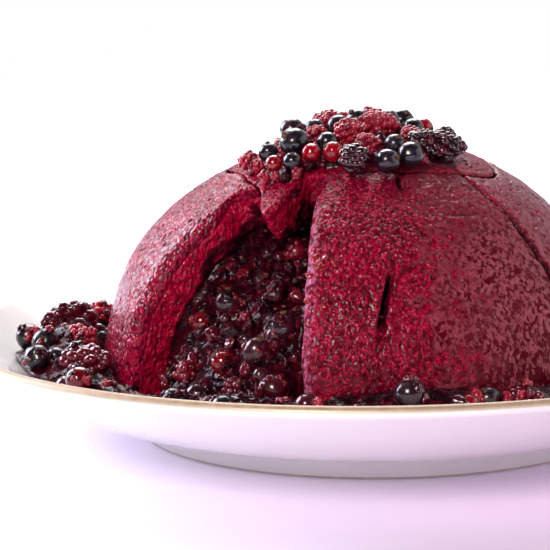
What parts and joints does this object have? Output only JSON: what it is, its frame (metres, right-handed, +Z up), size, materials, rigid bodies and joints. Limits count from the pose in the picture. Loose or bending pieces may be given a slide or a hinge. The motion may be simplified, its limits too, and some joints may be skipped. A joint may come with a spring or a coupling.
{
  "type": "summer pudding on a plate",
  "caption": "Dome of juice-soaked bread slices round a stewed berry filling, with a slice cut out, berries heaped on top and round the foot, on a coupe plate.",
  "frame": {"origin": "middle of the plate's foot ring, on the table", "axes": "+Z up, -Y towards the side with the cut opening, +X to its right"},
  "size_m": [0.28, 0.28, 0.1047],
  "materials": {
    "porcelain": "white glazed porcelain with a thin gilt line on the rim",
    "soaked_bread": "moist open crumb, deep crimson, with a wet sheen",
    "top_bread": "moist open crumb, dark crimson",
    "stewed_fruit": "dark glossy stewed berries in syrup",
    "plate_fruit": "dark glossy stewed berries and pulp",
    "blackcurrant_skin": "blue-black shiny skin",
    "redcurrant_skin": "translucent shiny red skin",
    "raspberry_skin": "soft, slightly downy, wet with juice",
    "bramble_skin": "shiny dark purple drupelets"
  },
  "bodies": {
    "root": {"plate": "porcelain", "bread_front": "soaked_bread", "bread_right": "soaked_bread", "bread_back_right": "soaked_bread", "bread_back_left": "soaked_bread", "bread_left": "soaked_bread", "bread_top": "top_bread", "filling": "stewed_fruit", "fruit_moat": "plate_fruit", "blackcurrant_01": "blackcurrant_skin", "blackcurrant_02": "blackcurrant_skin", "blackcurrant_03": "blackcurrant_skin", "blackcurrant_04": "blackcurrant_skin", "blackcurrant_05": "blackcurrant_skin", "blackcurrant_06": "blackcurrant_skin", "blackcurrant_07": "blackcurrant_skin", "blackcurrant_08": "blackcurrant_skin", "blackcurrant_09": "blackcurrant_skin", "blackcurrant_10": "blackcurrant_skin", "blackcurrant_11": "blackcurrant_skin", "blackcurrant_12": "blackcurrant_skin", "blackcurrant_13": "blackcurrant_skin", "blackcurrant_14": "blackcurrant_skin", "redcurrant_01": "redcurrant_skin", "redcurrant_02": "redcurrant_skin", "redcurrant_03": "redcurrant_skin", "redcurrant_04": "redcurrant_skin", "redcurrant_05": "redcurrant_skin", "redcurrant_06": "redcurrant_skin", "raspberry_01": "raspberry_skin", "raspberry_02": "raspberry_skin", "raspberry_03": "raspberry_skin", "raspberry_04": "raspberry_skin", "raspberry_05": "raspberry_skin", "raspberry_06": "raspberry_skin", "raspberry_07": "raspberry_skin", "raspberry_08": "raspberry_skin", "bramble_01": "bramble_skin", "bramble_02": "bramble_skin", "bramble_03": "bramble_skin"}
  },
  "joints": []
}
